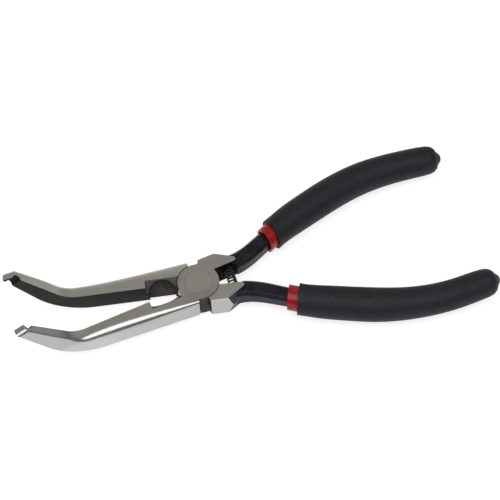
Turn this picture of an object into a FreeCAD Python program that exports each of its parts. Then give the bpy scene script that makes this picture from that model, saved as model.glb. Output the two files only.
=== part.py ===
import FreeCAD, Part
import math
import os

# Needle nose pliers with bent jaws, spring opened.
# Millimetres. The pivot axis is Z, z = 0 is the flat back of the joint, jaws
# point to -X and handles to +X. Each half is drawn with the tool closed, jaw
# above the X axis and handle below it, then swung open by half the rest angle.

REST_OPENING = 18.14          # degrees between the halves as drawn
THICK = 11.0                  # joint thickness
MID = THICK / 2               # plane where the two joint discs meet
DISC_GAP = 0.04               # play between the discs
R_DISC = 8.75                 # joint disc
R_SEAT = 9.1                  # round recess around the other half's disc

# jaw
JAW_BACK = 1.7                # jaws are this much thinner than the joint, at the back
HEEL_X = -4.0                 # outer corner of the jaw at the joint
HEEL_Y = {"back": 10.6, "front": 9.8}
BEND_X = -55.0                # where the nose turns forward
BEND_ANGLE = 47.0
BEND_R = 11.0                 # front side of the bend
BACK_ANGLE = 55.4             # the nose thins towards its tip
BACK_R = 28.0
BACK_BEND_X = -58.9
LIP_X = -73.9                 # front corner of the lip
TIP_BACK_X = -78.3            # back corner of the end face
TIP_Y = 3.5
GROOVE_R, GROOVE_TILT = 1.9, 6.0
GROOVE_BACK_OFF = 1.9         # groove centre to lip corner
EDGE_HEEL, EDGE_BEND, EDGE_NOSE, EDGE_TIP = 0.9, 2.9, 1.6, 1.0   # outer front edge radii
BACK_EDGE_HEEL, BACK_EDGE_TIP = 0.35, 1.0
TIP_EDGE, TIP_ROUND_Y = 1.8, 1.98   # end face into the outer side
LIP_EDGE, LIP_START = 0.8, 0.47     # end face into the front

# notch in the jaws beside the joint
NOTCH_X0, NOTCH_X1 = -22.3, -9.3
NOTCH_Y = 3.9                 # depth at the front face
NOTCH_ANGLE = 47.0            # its wall slopes to the inner edge
POCKET_X, POCKET_R = -15.5, 6.0
POCKET_OFF = 0.9              # pocket centre below the wall's inner edge
POCKET_DEPTH = 4.2

# shoulder, where the handle leaves the joint
SHOULDER_Y = -10.0
INNER_Y = -2.8
SHOULDER_END = 18.5
STOP_X = 3.9                  # heel of the other jaw stops here, wide open

# return spring
SPRING_X = 15.0
SPRING_CLEAR = 3.3            # the bars are set back this far past its centre
SPRING_OD, SPRING_WIRE = 4.15, 0.75
SEAT_DEPTH, SPRING_HOLE_R = 2.6, 2.45
SPRING_TURNS = 10.5
SPRING_HALF = 7.15

# rivet
RIVET_R, RIVET_HEAD_R, RIVET_CONE = 3.2, 5.85, 2.3
RIVET_PLAY = 0.05

# handle: centre lines from the joint to the tip, bent by hand and not quite alike
AXIS = {
    "back": [(10, -6.4), (20, -4.5), (30, -7.3), (42, -12.0), (60, -16.7), (76, -19.75),
             (90, -20.5), (104, -19.1), (115, -16.5), (125, -14.2)],
    "front": [(10, -6.4), (20, -4.5), (30, -7.3), (42, -12.0), (60, -16.7), (76, -19.75),
              (90, -20.6), (104, -19.2), (125, -14.8)],
}
# the sleeves sit a little askew of the bar where they start, degrees to X
MOUTH_ANGLE = {"back": 15.0, "front": 9.0}
SHIFT = {"back": -0.3, "front": -1.6}     # the front half's sleeves are pushed on further
TAIL = {"back": 0.95, "front": 1.0}       # girth of the grips towards the tip
# sections: x, half width, half thickness and, for the bar, corner size
BAR = [(10, 3.2, 4.7, 1.2), (20, 3.8, 3.8, 1.4), (26, 3.7, 3.5, 1.3), (34, 3.6, 3.3, 1.3),
       (60, 3.3, 3.1, 1.2), (90, 3.2, 3.0, 1.1), (116, 2.6, 2.5, 0.9)]
MOUTH = [(35.5, 4.6, 4.7), (40.5, 4.5, 4.6)]
SLEEVE = [(36.9, 5.45, 5.5), (42, 5.45, 5.5), (60, 5.4, 5.5), (90, 5.3, 5.4), (110, 5.0, 5.1),
          (118, 4.2, 4.3)]
GRIP = [(41.0, 6.75, 6.85), (42.2, 6.7, 6.8), (50, 6.95, 7.05), (60, 7.15, 7.3), (72, 7.2, 7.35),
        (90, 7.0, 7.15), (106, 6.7, 6.85), (113, 6.6, 6.75), (117.5, 6.45, 6.6), (119.8, 6.2, 6.35),
        (121.3, 5.75, 5.85), (122.4, 5.0, 5.1), (123, 4.3, 4.4)]
NUB_FOOT_R, NUB_R, NUB_LENGTH = 4.9, 1.4, 2.2


V = FreeCAD.Vector


def face_of(points):
    """Flat face in the XY plane from (x, y) corners; a 3-point entry is an arc."""
    edges = []
    last = None
    first = None
    for item in points:
        if isinstance(item[0], tuple):
            mid, end = item
            edges.append(Part.Arc(V(*last, 0), V(*mid, 0), V(*end, 0)).toShape())
            last = end
            continue
        if last is not None:
            edges.append(Part.makeLine(V(*last, 0), V(*item, 0)))
        else:
            first = item
        last = item
    if math.dist(first, last) > 1e-6:
        edges.append(Part.makeLine(V(*last, 0), V(*first, 0)))
    return Part.Face(Part.Wire(edges))


def prism(points, z0, z1):
    """Outline in plan, standing from z0 to z1."""
    solid = face_of(points).extrude(V(0, 0, z1 - z0))
    solid.translate(V(0, 0, z0))
    return solid


def side_prism(points, y0, y1):
    """Outline of (x, z) corners, reaching from y0 to y1."""
    solid = face_of(points).extrude(V(0, 0, y1 - y0))
    solid.rotate(V(0, 0, 0), V(1, 0, 0), 90)
    solid.translate(V(0, y1, 0))
    return solid


def cylinder(x, y, r, z0, z1):
    return Part.makeCylinder(r, z1 - z0, V(x, y, z0))


def bend(corner, angle, radius):
    """Start, middle and end of the arc that rounds a forward bend in the nose."""
    a = math.radians(angle)
    reach = radius * math.tan(a / 2)
    cx, cz = corner
    start = (cx + reach, cz)
    end = (cx - reach * math.cos(a), cz + reach * math.sin(a))
    mid = (start[0] - radius * math.sin(a / 2), cz + radius * (1 - math.cos(a / 2)))
    return start, mid, end


def lip_corner():
    return LIP_X, THICK + (BEND_X - LIP_X) * math.tan(math.radians(BEND_ANGLE))


def back_corner():
    return TIP_BACK_X, JAW_BACK + (BACK_BEND_X - TIP_BACK_X) * math.tan(math.radians(BACK_ANGLE))


def further(point, angle, length):
    """A point moved on along the nose, which rises at this angle."""
    a = math.radians(angle)
    return point[0] - length * math.cos(a), point[1] + length * math.sin(a)


def jaw_side():
    """The bent nose seen from the side, running on past its tip."""
    f0, f1, f2 = bend((BEND_X, THICK), BEND_ANGLE, BEND_R)
    b0, b1, b2 = bend((BACK_BEND_X, JAW_BACK), BACK_ANGLE, BACK_R)
    front = further(lip_corner(), BEND_ANGLE, 6)
    back = further(back_corner(), BACK_ANGLE, 6)
    return [(2, THICK), f0, (f1, f2), front, back, b2, (b1, b0), (2, JAW_BACK)]


def jaw_blank(half):
    """Straight-sided jaw, flat on the inside and tapering outside."""
    slope = (HEEL_Y[half] - TIP_Y) / (HEEL_X + 77)
    plan = [(2, 0), (2, HEEL_Y[half] + slope * (2 - HEEL_X)), (-84, TIP_Y - 7 * slope), (-84, 0)]
    solid = prism(plan, -1, 45).common(side_prism(jaw_side(), -1, 12))
    return solid.removeSplitter()


def behind_heel(half):
    """What is cut away where the jaw ends at the joint."""
    y = HEEL_Y[half]
    plan = [(-2, -1), (-2, 0), (-3.4, 8.5), (HEEL_X, y), (HEEL_X - 0.6, y + 2), (9, y + 2), (9, -1)]
    return prism(plan, -1, 12)


def arc_down(start, radius, turn):
    """Middle and end of an arc that leaves a flat edge at start and turns down to the right of it."""
    points = []
    for a in (math.radians(turn / 2), math.radians(turn)):
        points.append((start + radius * math.sin(a), -radius * (1 - math.cos(a))))
    return points


def end_of_nose():
    """What is cut away beyond the leaning end face, whose front and outer edges are rounded."""
    lip = V(lip_corner()[0], 0, lip_corner()[1])
    lean = V(back_corner()[0], 0, back_corner()[1]) - lip
    lean.normalize()
    out = V(lean.z, 0, -lean.x)
    # front edge: an outline across the nose, measured from the lip against the lean
    middle_point, last = arc_down(-LIP_START, LIP_EDGE, 52)
    outline = []
    for along, up in ((-9, 8), (-9, 0), (-LIP_START, 0), middle_point, last, (6, last[1]), (6, 8)):
        p = lip - lean * along + out * up
        outline.append((p.x, p.z))
    front = side_prism(outline[:3] + [(outline[3], outline[4])] + outline[5:], -1, 12)
    # outer edge: an outline across the end face, pushed along the lean
    middle_point, last = arc_down(TIP_ROUND_Y, TIP_EDGE, 80)
    plan = prism([(-1, 8), (-1, 0), (TIP_ROUND_Y, 0), (middle_point, last), (9, last[1]), (9, 8)], -12, 3)
    leaning = FreeCAD.Placement(lip, FreeCAD.Rotation(V(0, 1, 0), out, lean, "XYZ"))
    plan.Placement = leaning.multiply(plan.Placement)
    return front.fuse(plan)


def round_edges(solid, edges, radii):
    """Rounds a chain of edges, each with its own radius at its nose end and at its heel end."""
    doc = FreeCAD.newDocument("rounding")
    base = doc.addObject("Part::Feature", "base")
    base.Shape = solid
    rounded = doc.addObject("Part::Fillet", "rounded")
    rounded.Base = base
    chosen = []
    for number, e in enumerate(solid.Edges, 1):
        for edge, (nose_end, heel_end) in zip(edges, radii):
            if e.isSame(edge):
                chosen.append((number, nose_end, heel_end))
    rounded.Edges = chosen
    doc.recompute()
    shape = rounded.Shape.copy()
    FreeCAD.closeDocument(doc.Name)
    return shape


def round_jaw(solid):
    """Rounds the long outer edges, in front widest at the bend of the nose."""
    front = []
    for e in outer_edges(solid):
        if in_front(e):
            front.append(e)
    radii = [(EDGE_BEND, EDGE_HEEL), (EDGE_NOSE, EDGE_BEND), (EDGE_TIP, EDGE_NOSE)]
    solid = round_edges(solid, front, radii)
    back = []
    for e in outer_edges(solid):
        if on_back(e):
            back.append(e)
    return solid.makeFillet(BACK_EDGE_HEEL, BACK_EDGE_TIP, back)


def outer_edges(solid):
    """Edges that run along the nose on its outer side, heel end first."""
    found = []
    for e in solid.Edges:
        if e.BoundBox.YMin > 2.2 and e.BoundBox.XLength > 1.5:
            found.append(e)
    return sorted(found, key=lambda e: -e.BoundBox.XMax)


def middle(edge):
    return edge.valueAt((edge.FirstParameter + edge.LastParameter) / 2)


def in_front(edge):
    m = middle(edge)
    rise = max(0.0, BEND_X - m.x)
    return m.z > THICK - 0.6 + rise


def on_back(edge):
    m = middle(edge)
    if m.x > BACK_BEND_X + 14:
        return m.z < JAW_BACK + 0.1
    if m.x < BACK_BEND_X - 9:
        reach = math.tan(math.radians(BACK_ANGLE)) * (BACK_BEND_X - m.x)
        return abs(m.z - JAW_BACK - reach) < 0.2
    # distance from the centre of the back's bend
    cx = BACK_BEND_X + BACK_R * math.tan(math.radians(BACK_ANGLE / 2))
    return abs(math.hypot(m.x - cx, m.z - JAW_BACK - BACK_R) - BACK_R) < 0.1


def tip_groove():
    """Half-round cross groove just behind the lip, on the inner side of the nose."""
    a = math.radians(BEND_ANGLE)
    tilt = math.radians(BEND_ANGLE + GROOVE_TILT)
    across = V(-math.sin(tilt), 0, -math.cos(tilt))
    x = LIP_X + GROOVE_BACK_OFF * math.cos(a)
    z = THICK + (BEND_X - x) * math.tan(a)
    start = V(x, -0.2, z) - across * 8
    return Part.makeCylinder(GROOVE_R, 24, start, across)


def jaw(half):
    solid = round_jaw(jaw_blank(half))
    solid = solid.cut(behind_heel(half)).cut(end_of_nose()).cut(tip_groove())
    a = math.radians(NOTCH_ANGLE)
    edge_z = THICK - NOTCH_Y * math.tan(a)
    end = NOTCH_X1 if half == "front" else 0
    profile = [V(NOTCH_X0, NOTCH_Y, THICK), V(NOTCH_X0, NOTCH_Y, 12), V(NOTCH_X0, -1, 12),
               V(NOTCH_X0, -1, edge_z - math.tan(a)), V(NOTCH_X0, NOTCH_Y, THICK)]
    solid = solid.cut(Part.Face(Part.makePolygon(profile)).extrude(V(end - NOTCH_X0, 0, 0)))
    out = V(0, -math.sin(a), math.cos(a))
    centre = V(POCKET_X, -POCKET_OFF * math.cos(a), edge_z - POCKET_OFF * math.sin(a))
    return solid.cut(Part.makeCylinder(POCKET_R, POCKET_DEPTH + 6, centre - out * POCKET_DEPTH, out))


def shoulder():
    """Full-thickness block where the handle leaves the joint."""
    y0, y1 = SHOULDER_Y, INNER_Y
    x1 = SHOULDER_END
    plan = [(3.3, -8.4), (STOP_X + 0.3, y0), (21, y0), (21, -6), (x1, -4.9),
            ((x1 + 0.05, -3.2), (x1 - 1.0, y1)), (0, y1), (0, -8.4)]
    solid = prism(plan, 0, THICK)
    # ground corners that let the round handle run out of the block
    for side in (1, -1):
        normal = V(28.0, -38.5, 9.7 * side)
        corner = V(11.5, y0, MID + MID * side)
        solid = solid.cut(beyond(corner, normal))
    return solid


def beyond(point, normal):
    """Large block on the far side of a plane."""
    block = Part.makeBox(60, 60, 40, V(-30, -30, 0))
    leaning = FreeCAD.Placement(point, FreeCAD.Rotation(V(0, 0, 1), normal))
    block.Placement = leaning.multiply(block.Placement)
    return block


def axis_curve(half):
    curve = Part.BSplineCurve()
    curve.interpolate([V(x, y, MID) for x, y in AXIS[half]])
    return curve


def station(curve, x, turn=None):
    """Point of the handle's centre line at x, and the sideways direction there."""
    cross = Part.Line(V(x, -60, MID), V(x, 60, MID))
    hit = curve.intersectCC(cross)[0]
    p = V(hit.X, hit.Y, hit.Z)
    d = curve.tangent(curve.parameter(p))[0]
    if turn is not None:
        a = math.radians(-turn)
        d = V(math.cos(a), math.sin(a), 0)
    return p, V(-d.y, d.x, 0)


def octagon(p, side, a, c, k):
    """Handle bar section: half width a, half thickness c, corners cut by k."""
    up = V(0, 0, 1)
    corners = [(a, c - k), (a - k, c), (k - a, c), (-a, c - k),
               (-a, k - c), (k - a, -c), (a - k, -c), (a, k - c)]
    points = [p + side * s + up * t for s, t in corners]
    return Part.makePolygon(points + [points[0]])


def oval(p, side, a, c):
    """Elliptical section, a little taller than wide."""
    e = Part.Ellipse(p + V(0, 0, c), p + side * a, p)
    return Part.Wire(e.toShape())


def bar(curve):
    """Steel handle bar."""
    sections = []
    for x, a, c, k in BAR:
        p, side = station(curve, x)
        sections.append(octagon(p, side, a, c, k))
    return Part.makeLoft(sections, True, False)


def tube(curve, rows, half):
    """Round sleeve along the handle, its first sections askew by the mouth angle."""
    sections = []
    for x, a, c in rows:
        turn = MOUTH_ANGLE[half] if x < 45 else None
        shift = SHIFT[half] if x < 45 else 0
        girth = TAIL[half] if x > 80 else 1
        p, side = station(curve, x + shift, turn)
        sections.append(oval(p, side, a * girth, c * girth))
    return Part.makeLoft(sections, True, False)


def handle(curve):
    """Steel bar, set back beside the spring."""
    y = INNER_Y
    end = SPRING_X + SPRING_CLEAR
    bay = [(0, y), (end - 2, y), ((end - 0.59, y + 0.59), (end, y + 2)), (end, 8), (0, 8)]
    return bar(curve).cut(prism(bay, -1, 12))


def half_blank(curve, half):
    solid = jaw(half).fuse(shoulder()).fuse(handle(curve))
    low = MID - DISC_GAP / 2
    high = MID + DISC_GAP / 2
    if half == "front":
        solid = solid.cut(cylinder(0, 0, R_SEAT, -1, high))
        solid = solid.fuse(cylinder(0, 0, R_DISC, high, THICK))
        solid = solid.cut(rivet_shape(RIVET_PLAY))
    else:
        solid = solid.cut(cylinder(0, 0, R_SEAT, low, THICK + 1))
        solid = solid.fuse(cylinder(0, 0, R_DISC, 0, low))
        solid = solid.cut(rivet_shape(0))
    seat = Part.makeCylinder(SPRING_HOLE_R, SEAT_DEPTH + 1, V(SPRING_X, INNER_Y + 1, MID), V(0, -1, 0))
    return solid.cut(seat).removeSplitter()


def rivet_shape(play):
    """Rivet with a countersunk head at each end, both flush."""
    r, head, cone = RIVET_R + play, RIVET_HEAD_R + play, RIVET_CONE + play
    solid = cylinder(0, 0, r, 0, THICK)
    solid = solid.fuse(Part.makeCone(head, r, cone))
    solid = solid.fuse(Part.makeCone(r, head, cone, V(0, 0, THICK - cone)))
    return solid.removeSplitter()


def spring():
    """Open coil between the handles, its ends in the blind seats."""
    length = 2 * SPRING_HALF - SPRING_WIRE
    r = (SPRING_OD - SPRING_WIRE) / 2
    helix = Part.makeHelix(length / SPRING_TURNS, length, r)
    wire = Part.Wire(Part.makeCircle(SPRING_WIRE / 2, V(r, 0, 0), V(0, 1, 0)))
    solid = Part.Wire(helix).makePipeShell([wire], True, True)
    solid.translate(V(0, 0, -length / 2))
    solid.rotate(V(0, 0, 0), V(1, 0, 0), 90)
    a = math.radians(REST_OPENING / 2)
    x = SPRING_X * math.cos(a) + INNER_Y * math.sin(a)
    solid.translate(V(x, 0, MID))
    return solid


def grip_solid(curve, half):
    """Grip with its lip at the front and a small nub at the tip."""
    solid = tube(curve, GRIP, half)
    p, side = station(curve, GRIP[-1][0])
    along = V(side.y, -side.x, 0)
    nub = Part.makeCone(NUB_FOOT_R, NUB_R, NUB_LENGTH + 1, p - along, along)
    nub = nub.makeFillet(0.7, [nub.Edges[0]])
    return solid.fuse(nub)


def swing(solid, half):
    """From the closed drawing position to rest."""
    if half == "front":
        solid = solid.mirror(V(0, 0, 0), V(0, 1, 0))
    turn = REST_OPENING / 2 if half == "front" else -REST_OPENING / 2
    solid.rotate(V(0, 0, 0), V(0, 0, 1), turn)
    return solid


def main():
    os.makedirs("parts", exist_ok=True)
    nodes = {"pivot_rivet": rivet_shape(0), "return_spring": spring()}
    for half, where in (("back", "lower"), ("front", "upper")):
        curve = axis_curve(half)
        core = tube(curve, SLEEVE, half)
        sleeve = core.cut(bar(curve)).cut(tube(curve, MOUTH, half))
        grip = grip_solid(curve, half).cut(core)
        nodes[half + "_half"] = swing(half_blank(curve, half), half)
        nodes[where + "_sleeve"] = swing(sleeve, half)
        nodes[where + "_grip"] = swing(grip, half)
    for name, shape in nodes.items():
        if len(shape.Solids) == 1:
            shape = shape.Solids[0]
        print(name, shape.isValid(), len(shape.Solids), round(shape.Volume, 1))
        shape.exportStep("parts/" + name + ".step")


if __name__ == "__main__":
    main()
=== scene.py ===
"""Bent needle nose pliers with dipped grips.

Metres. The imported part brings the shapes; this script adds the finishes, a coil for the spring, the floor,
the light and the camera.
"""
import math

import bpy
from mathutils import Matrix, Vector


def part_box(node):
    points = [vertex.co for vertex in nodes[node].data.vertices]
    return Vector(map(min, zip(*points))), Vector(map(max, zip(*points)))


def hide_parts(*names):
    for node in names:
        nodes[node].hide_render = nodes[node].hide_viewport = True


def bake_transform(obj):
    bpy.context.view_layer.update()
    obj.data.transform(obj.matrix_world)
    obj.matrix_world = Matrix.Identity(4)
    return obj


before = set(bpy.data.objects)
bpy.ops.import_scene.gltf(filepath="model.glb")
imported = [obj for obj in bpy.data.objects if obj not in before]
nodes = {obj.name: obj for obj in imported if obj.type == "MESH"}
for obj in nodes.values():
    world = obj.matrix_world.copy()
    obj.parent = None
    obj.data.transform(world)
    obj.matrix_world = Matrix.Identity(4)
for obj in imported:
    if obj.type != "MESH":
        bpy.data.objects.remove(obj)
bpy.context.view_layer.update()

MM = 0.001

# Each half has its own drawing: the tool closed, the jaw towards -X +Y, the handle towards +X -Y. At rest
# a half is turned about the pivot by this much from its drawing.
REST_TURN = math.radians(9.07)

# The rivet stands on the pivot axis and is flush with the joint, so it gives the tool's thickness.
rivet_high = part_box("pivot_rivet")[1]
THICK = rivet_high.z
RIVET_HEAD_R = rivet_high.x
SEAM_START, SEAM_FULL = 0.32 * MM, 0.05 * MM     # the dark seam, inwards from the head's edge

# Outer side of the jaw: its heel beside the joint, and its nose.
HEEL_X, JAW_RUN, NOSE_SIDE = -4.0 * MM, 73.0 * MM, 3.5 * MM
HEEL_SIDE = {"back_half": 10.6 * MM, "front_half": 9.8 * MM}
PAINTED_LIGHT_WIDTH = 7.0 * MM                    # from the outer side, how far across the front the painted light reaches
FRONT_EDGE = 1.5 * MM                      # below the front, where the side's tone turns into the front's
# Along the side below the front, painted shade: the tone is in full at the first X and falls to the share at
# the second, by the joint.
SIDE_LIGHT_X, SIDE_SHADE_X, SIDE_SHADE_SHARE = -45 * MM, -5 * MM, 0.84
NOSE_RISE = 0.2 * MM, 4.0 * MM             # above the joint, where the painted shade on the nose front starts and is in full
NOSE_FRONT = (0.722, 0.115, 0.682)         # direction of the lower nose's front face at rest
NOSE_FACING = 0.80, 0.97                   # how squarely a face looks that way, from none to in full

# Joint disc, shoulder, and the handle bar behind them.
JOINT_R = 9.3 * MM
JOINT_HEEL_X, BOSS_FRONT_X = -9.2 * MM, -3.0 * MM
SHOULDER_SIDE, SHOULDER_END = -10.0 * MM, 21.0 * MM
BAR_START = 3.0 * MM
BAY_END = 18.3 * MM                        # the bay beside the spring

# The notch beside the joint and its round pocket.
NOTCH_START, NOTCH_END, NOTCH_DEPTH = -22.45 * MM, -8.4 * MM, 3.9 * MM
NOTCH_SLOPE = math.radians(47)
NOTCH_OUT = Vector((0, -math.sin(NOTCH_SLOPE), math.cos(NOTCH_SLOPE)))
NOTCH_LEVEL = Vector((0, NOTCH_DEPTH, THICK)).dot(NOTCH_OUT)
NOTCH_EDGE_Z = THICK - NOTCH_DEPTH * math.tan(NOTCH_SLOPE)
POCKET_R, POCKET_OFF, POCKET_REACH = 6.0 * MM, 0.9 * MM, 7.0 * MM
POCKET_MIDDLE = Vector((-15.5 * MM, -POCKET_OFF * math.cos(NOTCH_SLOPE),
                        NOTCH_EDGE_Z - POCKET_OFF * math.sin(NOTCH_SLOPE)))

# The half-round groove across the nose, behind the lip.
BEND_X, LIP_X = -55.0 * MM, -73.9 * MM
NOSE_SLOPE = math.radians(47)
GROOVE_R = 1.9 * MM
GROOVE_TILT = math.radians(53)
GROOVE_ALONG = Vector((-math.sin(GROOVE_TILT), 0, -math.cos(GROOVE_TILT)))
GROOVE_X = LIP_X + GROOVE_R * math.cos(NOSE_SLOPE)
GROOVE_MIDDLE = Vector((GROOVE_X, -0.2 * MM, THICK + (BEND_X - GROOVE_X) * math.tan(NOSE_SLOPE)))

# How near to a face a point of it has to be, for the finishes.
NEAR_FLAT, NEAR_FACE, NEAR_GROOVE = 0.05 * MM, 0.1 * MM, 0.06 * MM

# Return spring, between the two seats behind the joint.
spring_low, spring_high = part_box("return_spring")
SPRING_PLACE = (spring_low + spring_high) / 2
SPRING_HALF = (spring_high.y - spring_low.y) / 2
SPRING_MEAN_R = 1.70 * MM
WIRE_R = 0.375 * MM
WIRE_SIDES = 12
SPRING_TURNS, STEPS_PER_TURN = 10.5, 36
CLOSED_TURNS = 1.0                         # at each end, wire on wire


# ---------------------------------------------------------------- materials

class Finish:
    """One procedural material, built node by node from the object's own coordinates."""

    def __init__(self, name, **sockets):
        self.material = bpy.data.materials.new(name)
        self.material.use_nodes = True
        self.tree = self.material.node_tree
        self.shader = self.tree.nodes["Principled BSDF"]
        self.place = self.add("ShaderNodeTexCoord").outputs["Object"]
        for key, value in sockets.items():
            self.shader.inputs[key.replace("_", " ")].default_value = value

    def add(self, kind, links=None, **settings):
        node = self.tree.nodes.new(kind)
        for key, value in settings.items():
            setattr(node, key, value)
        for key, value in (links or {}).items():
            if isinstance(value, bpy.types.NodeSocket):
                self.tree.links.new(value, node.inputs[key])
            else:
                node.inputs[key].default_value = value
        return node

    def place_axis(self, axis):
        return self.add("ShaderNodeSeparateXYZ", {"Vector": self.place}).outputs[axis]

    def scaled(self, colour, share):
        node = self.add("ShaderNodeVectorMath", {0: colour, "Scale": share}, operation="SCALE")
        return node.outputs["Vector"]

    def dot(self, vector, direction):
        node = self.add("ShaderNodeVectorMath", {0: vector, 1: direction}, operation="DOT_PRODUCT")
        return node.outputs["Value"]

    def length(self, vector):
        return self.add("ShaderNodeVectorMath", {0: vector}, operation="LENGTH").outputs["Value"]

    def product(self, a, b):
        return self.add("ShaderNodeMath", {0: a, 1: b}, operation="MULTIPLY").outputs[0]

    def noise(self, scale, detail, rough, stretch=None):
        place = self.place
        if stretch is not None:
            mapping = self.add("ShaderNodeMapping", {"Vector": place, "Scale": stretch})
            place = mapping.outputs["Vector"]
        node = self.add("ShaderNodeTexNoise",
                        {"Vector": place, "Scale": scale, "Detail": detail, "Roughness": rough})
        return node.outputs["Fac"]

    def voronoi(self, scale):
        node = self.add("ShaderNodeTexVoronoi", {"Vector": self.place, "Scale": scale})
        return node.outputs["Distance"]

    def range(self, value, low, high, to_low, to_high):
        limits = {"From Min": low, "From Max": high, "To Min": to_low, "To Max": to_high}
        return self.add("ShaderNodeMapRange", {"Value": value, **limits}).outputs["Result"]

    def ramp(self, value, stops):
        node = self.add("ShaderNodeValToRGB", {"Fac": value})
        elements = node.color_ramp.elements
        while len(elements) < len(stops):
            elements.new(0.5)
        for element, (position, colour) in zip(elements, stops):
            element.position = position
            element.color = (*colour, 1.0)
        return node.outputs["Color"]

    def mix(self, factor, a, b):
        node = self.add("ShaderNodeMix", data_type="RGBA")
        for socket, value in ((node.inputs[0], factor), (node.inputs[6], a), (node.inputs[7], b)):
            if isinstance(value, bpy.types.NodeSocket):
                self.tree.links.new(value, socket)
            elif isinstance(value, tuple):
                socket.default_value = (*value, 1.0)
            else:
                socket.default_value = value
        return node.outputs[2]

    def sum(self, a, b, share):
        return self.add("ShaderNodeMath", {0: b, 1: share, 2: a}, operation="MULTIPLY_ADD").outputs[0]

    def colour(self, value):
        self.tree.links.new(value, self.shader.inputs["Base Color"])

    def roughness(self, value):
        self.tree.links.new(value, self.shader.inputs["Roughness"])

    def bump(self, height, distance, strength, under=None):
        links = {"Height": height, "Distance": distance, "Strength": strength}
        if under is not None:
            links["Normal"] = under
        node = self.add("ShaderNodeBump", links)
        return node.outputs["Normal"]

    def soft_edges(self, radius):
        return self.add("ShaderNodeBevel", {"Radius": radius}, samples=6).outputs["Normal"]

    def normal(self, value):
        self.tree.links.new(value, self.shader.inputs["Normal"])


def outer_side(half):
    """Direction across a jaw to its long outer side at rest, and how far out that side lies."""
    slope = (HEEL_SIDE[half] - NOSE_SIDE) / JAW_RUN
    out = Vector((slope, 1, 0)).normalized()
    level = out.dot(Vector((HEEL_X, HEEL_SIDE[half], 0)))
    out = Matrix.Rotation(-REST_TURN, 3, "Z") @ out
    if half == "front_half":
        out.y = -out.y
    return out, level


def paint_light_across_jaw(made, base, half, inner, outer):
    """Painted light on the jaw's front, a tone change towards its outer edge, and painted shade along its
    side below the front, darker towards the joint.
    """
    out, level = outer_side(half)
    share = made.range(made.dot(made.place, out), level - PAINTED_LIGHT_WIDTH, level, inner, outer)
    over = made.range(made.place_axis("Z"), THICK - FRONT_EDGE, THICK, 0, 1)
    side = made.range(made.place_axis("X"), SIDE_LIGHT_X, SIDE_SHADE_X, 1.0, SIDE_SHADE_SHARE)
    return made.mix(over, made.scaled(base, side), made.scaled(base, share))


def painted_shade_on_nose(made, base, share):
    """Painted shade on the front of the nose, darker than the rest; its sides keep their tone."""
    start, full = NOSE_RISE
    nose = made.range(made.place_axis("Z"), THICK + start, THICK + full, 0, 1)
    normal = made.add("ShaderNodeTexCoord").outputs["Normal"]
    turned = made.range(made.dot(normal, NOSE_FRONT), *NOSE_FACING, 0, 1)
    return made.mix(made.product(nose, turned), base, made.scaled(base, share))


def ground_steel(name, tone, along, rough, ring=False, edge_light=None, nose_shade=1.0):
    """Bright ground steel: fine grinding lines, cloudy tone, a few darker specks.

    ring darkens the seam around the rivet's head. edge_light is (half, inner share, outer share): painted
    light, how the tone changes across the jaw to its long outer edge. nose_shade is the tone's share on the
    nose front, painted shade.
    """
    made = Finish(name, Metallic=1.0)
    lines = made.noise(2600, 2.0, 0.6, stretch=along)
    fine = made.noise(9000, 2.0, 0.6, stretch=along)
    clouds = made.noise(95, 4.0, 0.55)
    dark = tuple(0.93 * c for c in tone)
    light = tuple(min(1.0, 1.05 * c) for c in tone)
    base = made.ramp(made.sum(clouds, lines, 0.25), [(0.40, dark), (0.62, tone), (0.86, light)])
    specks = made.ramp(made.noise(1500, 2.0, 0.5), [(0.66, (0, 0, 0)), (0.74, (1, 1, 1))])
    worn = tuple(0.72 * c for c in tone)
    base = made.mix(made.range(specks, 0, 1, 0, 0.25), base, worn)
    # painted light across the jaw's front and painted shade along its side
    if edge_light is not None:
        base = paint_light_across_jaw(made, base, *edge_light)
    # painted shade on the lower nose's front
    if nose_shade < 1:
        base = painted_shade_on_nose(made, base, nose_shade)
    if ring:
        flat = made.add("ShaderNodeVectorMath", {0: made.place, 1: (1, 1, 0)}, operation="MULTIPLY")
        across = made.length(flat.outputs["Vector"])
        seam = made.range(across, RIVET_HEAD_R - SEAM_START, RIVET_HEAD_R - SEAM_FULL, 0, 0.35)
        base = made.mix(seam, base, tuple(0.35 * c for c in tone))
    made.colour(base)
    made.roughness(made.range(made.sum(clouds, lines, 0.5), 0.35, 1.1, rough - 0.04, rough + 0.07))
    made.normal(made.bump(fine, 0.004 * MM, 0.4, made.bump(lines, 0.007 * MM, 0.4)))
    return made.material


def black_oxide(name, tone, sheen_tone, rough, gloss=0.5):
    """Forged steel with a dark oxide finish: satin, uneven, with lighter grain in it."""
    made = Finish(name, Metallic=0.75, Specular_IOR_Level=gloss)
    clouds = made.noise(160, 5.0, 0.6)
    grain = made.noise(2400, 3.0, 0.6)
    scale = made.noise(700, 3.0, 0.55)
    base = made.ramp(clouds, [(0.32, tone), (0.72, sheen_tone)])
    light = tuple(1.6 * c for c in sheen_tone)
    made.colour(made.mix(made.range(grain, 0.55, 0.75, 0, 0.5), base, light))
    made.roughness(made.range(made.sum(clouds, grain, 0.5), 0.4, 1.1, rough - 0.06, rough + 0.14))
    soft = made.soft_edges(0.45 * MM)
    made.normal(made.bump(grain, 0.02 * MM, 0.6, made.bump(scale, 0.05 * MM, 0.5, soft)))
    return made.material


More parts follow.
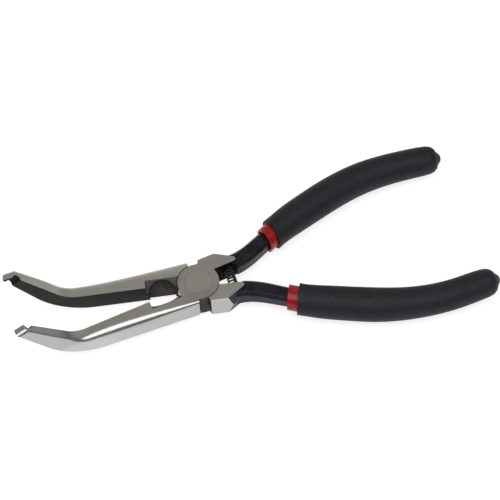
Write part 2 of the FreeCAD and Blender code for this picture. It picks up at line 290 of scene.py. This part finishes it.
def red_vinyl(name):
    """Dipped vinyl, glossy, slightly uneven in thickness."""
    made = Finish(name, Coat_Weight=0.28, Coat_Roughness=0.10, IOR=1.45, Specular_IOR_Level=0.22)
    clouds = made.noise(240, 3.0, 0.5)
    waves = made.noise(620, 2.0, 0.5)
    pores = made.noise(5200, 2.0, 0.5)
    made.colour(made.ramp(clouds, [(0.3, (0.235, 0.0034, 0.0060)), (0.7, (0.335, 0.0060, 0.0095))]))
    made.roughness(made.range(pores, 0.3, 0.7, 0.26, 0.40))
    made.normal(made.bump(pores, 0.01 * MM, 0.4, made.bump(waves, 0.10 * MM, 0.35)))
    return made.material


def black_grip(name):
    """Second, softer dip: near black with a fine pebbled grain and pale specks in it."""
    made = Finish(name, IOR=1.48, Specular_IOR_Level=0.35)
    pebbles = made.voronoi(1500)
    grain = made.noise(1900, 4.0, 0.70)
    clouds = made.noise(70, 4.0, 0.55)
    base = made.ramp(clouds, [(0.35, (0.0034, 0.0033, 0.0062)), (0.70, (0.0062, 0.0060, 0.0105))])
    specked = made.mix(made.range(grain, 0.54, 0.70, 0, 0.8), base, (0.036, 0.036, 0.052))
    made.colour(made.mix(made.range(grain, 0.46, 0.34, 0, 0.7), specked, (0.0028, 0.0028, 0.0045)))
    made.roughness(made.range(grain, 0.3, 0.7, 0.70, 0.50))
    made.normal(made.bump(grain, 0.09 * MM, 0.7, made.bump(pebbles, 0.07 * MM, 0.6)))
    return made.material


STEEL = (0.500, 0.496, 0.487)
RIVET_STEEL = tuple(0.87 * c for c in STEEL)
ALONG_TOOL = (0.10, 1.0, 1.0)              # grinding lines run along X
# The halves differ in painted light: a painted highlight towards the back half's outer edge, and painted
# shade over the front half's front, darker towards its outer edge and on its nose.
ground = {
    "back_half": ground_steel("ground_back", STEEL, ALONG_TOOL, 0.27, edge_light=("back_half", 0.92, 1.42)),
    "front_half": ground_steel("ground_front", STEEL, ALONG_TOOL, 0.27, edge_light=("front_half", 0.86, 0.74),
                               nose_shade=0.50),
}
rivet_ground = ground_steel("ground_rivet", RIVET_STEEL, ALONG_TOOL, 0.30, ring=True)
bar_black = black_oxide("oxide_bar", (0.010, 0.012, 0.016), (0.027, 0.031, 0.039), 0.34)
# Black oxide of the inner faces; on the front half's bar bevel it also serves as painted shade.
inner_black = black_oxide("oxide_inner", (0.004, 0.0038, 0.0037), (0.024, 0.0232, 0.0225), 0.50)
notch_blue = black_oxide("oxide_notch", (0.090, 0.091, 0.098), (0.130, 0.131, 0.136), 0.38)
pocket_brown = black_oxide("oxide_pocket", (0.026, 0.024, 0.023), (0.085, 0.076, 0.072), 0.48)
boss_brown = black_oxide("oxide_boss", (0.024, 0.021, 0.018), (0.058, 0.050, 0.045), 0.50)
# The bay beside the spring: black oxide, made much darker and duller than the inner oxide as painted shade
# in the recess.
bay_black_and_shade = black_oxide("oxide_bay_and_shade", (0.0025, 0.0022, 0.002), (0.005, 0.0045, 0.004), 0.70, 0.15)
spring_black = black_oxide("oxide_spring", (0.026, 0.026, 0.029), (0.046, 0.046, 0.052), 0.30)
vinyl = red_vinyl("red_vinyl_dip")
grip = black_grip("black_grip_dip")


# ---------------------------------------------------------------- finishes of the two halves

GROUND, BAR, INNER, NOTCH, POCKET, BAY, BOSS = range(7)


def drawing_place(point, half):
    """A point or direction of the part at rest, turned back into the half's own drawing."""
    turned = Matrix.Rotation(REST_TURN if half == "back_half" else -REST_TURN, 3, "Z") @ point
    if half == "front_half":
        turned.y = -turned.y
    return turned


def on_flat(p, n):
    """True on the flat front and back of the tool."""
    return (n.z > 0.9 and p.z > THICK - NEAR_FLAT) or (n.z < -0.9 and p.z < NEAR_FLAT)


def notch_finish(p, n):
    """The finish of the notch beside the joint, or None away from it."""
    if not (NOTCH_START < p.x < NOTCH_END) or p.y > POCKET_REACH or n.z < -0.9:
        return None
    height = p.dot(NOTCH_OUT)
    across = p - POCKET_MIDDLE - (height - POCKET_MIDDLE.dot(NOTCH_OUT)) * NOTCH_OUT
    if height < NOTCH_LEVEL - NEAR_FACE and across.length < POCKET_R + NEAR_FACE:
        return POCKET
    if p.y > NOTCH_DEPTH + NEAR_FACE:
        return None
    if n.dot(NOTCH_OUT) > 0.98 or (n.x > 0.95 and height > NOTCH_LEVEL - NEAR_FACE):
        return NOTCH
    return None


def in_groove(p):
    """True on the half-round groove behind the lip."""
    across = (p - GROOVE_MIDDLE).cross(GROOVE_ALONG)
    return across.length < GROOVE_R + NEAR_GROOVE


def handle_finish(p, n, half):
    """The finish of a point on the shoulder or the handle bar."""
    side = n.y < -0.9 and abs(p.y - SHOULDER_SIDE) < NEAR_FACE and p.x < SHOULDER_END
    if side or on_flat(p, n):
        return GROUND
    towards_other_handle = n.y > 0.3
    # the bay beside the spring: black oxide with painted shade
    if towards_other_handle and p.x < BAY_END:
        return BAY
    # The bar's bevel towards the other handle: on the front half it takes the darker inner oxide as painted
    # shade; on the back half it keeps the bar's oxide.
    bevel = towards_other_handle and n.z > 0.2
    return INNER if bevel and half == "front_half" else BAR


def finish_of(p, n, half):
    """The finish of a point p with its outward direction n, both in the half's drawing."""
    if p.x > BAR_START:
        return handle_finish(p, n, half)
    if math.hypot(p.x, p.y) < JOINT_R and p.x > JOINT_HEEL_X:
        return GROUND if on_flat(p, n) or n.y > 0.4 and p.x < BOSS_FRONT_X else BOSS
    found = notch_finish(p, n)
    if found is not None:
        return found
    return INNER if n.y < -0.6 or in_groove(p) else GROUND


for half in ("back_half", "front_half"):
    mesh = nodes[half].data
    mesh.materials.clear()
    for material in (ground[half], bar_black, inner_black, notch_blue, pocket_brown, bay_black_and_shade,
                     boss_brown):
        mesh.materials.append(material)
    for polygon in mesh.polygons:
        middle = drawing_place(Vector(polygon.center), half)
        facing = drawing_place(Vector(polygon.normal), half)
        polygon.material_index = finish_of(middle, facing, half)

PLAIN_FINISH = {"pivot_rivet": rivet_ground, "lower_sleeve": vinyl, "upper_sleeve": vinyl,
                "lower_grip": grip, "upper_grip": grip}
for name, material in PLAIN_FINISH.items():
    nodes[name].data.materials.clear()
    nodes[name].data.materials.append(material)


# ---------------------------------------------------------------- return spring

def round_wire(name, points, radius, sides):
    """A closed round wire along the points, with flat ends."""
    vertices = []
    for i, point in enumerate(points):
        along = (points[min(i + 1, len(points) - 1)] - points[max(i - 1, 0)]).normalized()
        across = along.cross(Vector((0, 1, 0))).normalized()
        over = across.cross(along)
        for k in range(sides):
            angle = 2 * math.pi * k / sides
            out = math.cos(angle) * across + math.sin(angle) * over
            vertices.append(point + radius * out)
    faces = []
    for i in range(len(points) - 1):
        for k in range(sides):
            a, b = i * sides + k, i * sides + (k + 1) % sides
            faces.append((a, b, b + sides, a + sides))
    last = (len(points) - 1) * sides
    faces.append(tuple(reversed(range(sides))))
    faces.append(tuple(range(last, last + sides)))
    mesh = bpy.data.meshes.new(name)
    mesh.from_pydata([tuple(v) for v in vertices], [], faces)
    for polygon in mesh.polygons:
        polygon.use_smooth = len(polygon.vertices) == 4
    mesh.update()
    piece = bpy.data.objects.new(name, mesh)
    bpy.context.scene.collection.objects.link(piece)
    return piece


def spring_points():
    """Round coils along Y, closed at each end."""
    steps = int(SPRING_TURNS * STEPS_PER_TURN)
    wire = 2 * WIRE_R
    opened = SPRING_TURNS - 2 * CLOSED_TURNS
    pitch = 2 * (SPRING_HALF - WIRE_R - CLOSED_TURNS * wire) / opened
    points = []
    for i in range(steps + 1):
        turn = SPRING_TURNS * i / steps
        first = min(turn, CLOSED_TURNS)
        middle = min(max(0.0, turn - CLOSED_TURNS), opened)
        last = max(0.0, turn - CLOSED_TURNS - opened)
        y = -SPRING_HALF + WIRE_R + (first + last) * wire + middle * pitch
        angle = 2 * math.pi * turn
        place = Vector((SPRING_MEAN_R * math.cos(angle), y, SPRING_MEAN_R * math.sin(angle)))
        points.append(SPRING_PLACE + place)
    return points


spring = round_wire("coil_spring", spring_points(), WIRE_R, WIRE_SIDES)
spring.data.materials.append(spring_black)
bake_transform(spring)
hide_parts("return_spring")


# ---------------------------------------------------------------- floor, light, camera

# The view: turned about Z, raised above the floor, rolled about its own axis.
VIEW_TURN = math.radians(13.44)
VIEW_HEIGHT = math.radians(55.33)
VIEW_ROLL = math.radians(-3.676)
VIEW_DISTANCE = 568.6 * MM
VIEW_TARGET = Vector((26.02, 12.35, 5.5)) * MM
LENS, SENSOR = 95.34, 36.0                 # focal length and sensor width, in millimetres

FLOOR_Z, FLOOR_R, FLOOR_SIDES = -2.1 * MM, 1.6, 64
FLOOR_TONES = (0.40, 0.40, 0.40), (0.42, 0.42, 0.42)
GLOW_NEAR, GLOW_FAR = (0.30, 0.72), (0.70, 0.34)     # distance from the pivot, strength

KEY_HEIGHT = math.radians(67)              # above the floor, on the camera's side
KEY_DISTANCE, KEY_WIDTH, KEY_DEPTH, KEY_RADIANCE = 0.90, 1.5, 0.72, 2.6

# Sky brightness from the camera's side (0) round to the far side (1).
SKY = ((0.0, (0.10, 0.10, 0.10)), (0.5, (0.22, 0.22, 0.22)),
       (0.785, (0.48, 0.450, 0.400)), (1.0, (0.68, 0.65, 0.60)))


def turned_view(v):
    """A direction of the view, Y away from the camera, as a direction of the scene."""
    return Matrix.Rotation(-VIEW_TURN, 3, "Z") @ v


def floor_material():
    """Pale and even, with a soft glow that fades away from the tool."""
    made = Finish("pale_floor", Roughness=0.9, Specular_IOR_Level=0.1, Emission_Color=(1, 1, 1, 1))
    made.colour(made.ramp(made.noise(9, 2.0, 0.5), list(zip((0.3, 0.7), FLOOR_TONES))))
    (near, near_glow), (far, far_glow) = GLOW_NEAR, GLOW_FAR
    glow = made.range(made.length(made.place), near, far, near_glow, far_glow)
    made.tree.links.new(glow, made.shader.inputs["Emission Strength"])
    return made.material


def round_floor():
    """A flat disc under the tool."""
    turns = [2 * math.pi * k / FLOOR_SIDES for k in range(FLOOR_SIDES)]
    ring = [(FLOOR_R * math.cos(turn), FLOOR_R * math.sin(turn), FLOOR_Z) for turn in turns]
    mesh = bpy.data.meshes.new("floor")
    mesh.from_pydata(ring, [], [tuple(range(FLOOR_SIDES))])
    piece = bpy.data.objects.new("floor", mesh)
    bpy.context.scene.collection.objects.link(piece)
    mesh.materials.append(floor_material())


def softbox():
    """The key light: a wide panel above the camera, aimed at the tool."""
    towards = turned_view(Vector((0, -math.cos(KEY_HEIGHT), math.sin(KEY_HEIGHT))))
    lamp = bpy.data.lights.new("key", "AREA")
    lamp.shape = "RECTANGLE"
    lamp.size, lamp.size_y = KEY_WIDTH, KEY_DEPTH
    lamp.energy = KEY_RADIANCE * math.pi * KEY_WIDTH * KEY_DEPTH
    panel = bpy.data.objects.new("key", lamp)
    bpy.context.scene.collection.objects.link(panel)
    panel.location = VIEW_TARGET + KEY_DISTANCE * towards
    panel.rotation_euler = towards.to_track_quat("Z", "Y").to_euler()


def studio_world():
    """A sky that is dark behind the camera and bright beyond the tool."""
    world = bpy.data.worlds.new("studio")
    bpy.context.scene.world = world
    world.use_nodes = True
    tree = world.node_tree
    place = tree.nodes.new("ShaderNodeTexCoord")
    facing = tree.nodes.new("ShaderNodeVectorMath")
    facing.operation = "DOT_PRODUCT"
    tree.links.new(place.outputs["Generated"], facing.inputs[0])
    facing.inputs[1].default_value = turned_view(Vector((0, 1, 0)))
    spread = tree.nodes.new("ShaderNodeMapRange")
    tree.links.new(facing.outputs["Value"], spread.inputs["Value"])
    spread.inputs["From Min"].default_value = -1.0
    ramp = tree.nodes.new("ShaderNodeValToRGB")
    tree.links.new(spread.outputs["Result"], ramp.inputs[0])
    elements = ramp.color_ramp.elements
    while len(elements) < len(SKY):
        elements.new(0.5)
    for element, (position, tone) in zip(elements, SKY):
        element.position = position
        element.color = (*tone, 1)
    tree.links.new(ramp.outputs[0], tree.nodes["Background"].inputs[0])


def place_camera():
    """The camera looks down at the tool, rolled a little."""
    forward = turned_view(Vector((0, math.cos(VIEW_HEIGHT), -math.sin(VIEW_HEIGHT))))
    level = turned_view(Vector((1, 0, 0)))
    rise = level.cross(forward)
    right = math.cos(VIEW_ROLL) * level + math.sin(VIEW_ROLL) * rise
    up = -math.sin(VIEW_ROLL) * level + math.cos(VIEW_ROLL) * rise
    lens = bpy.data.cameras.new("camera")
    lens.sensor_width = SENSOR
    lens.lens = LENS
    lens.clip_start = 0.01
    camera = bpy.data.objects.new("camera", lens)
    bpy.context.scene.collection.objects.link(camera)
    eye = VIEW_TARGET - VIEW_DISTANCE * forward
    camera.matrix_world = Matrix.Translation(eye) @ Matrix((right, up, -forward)).transposed().to_4x4()
    bpy.context.scene.camera = camera


round_floor()
softbox()
studio_world()
place_camera()
bpy.context.scene.view_settings.view_transform = "Standard"
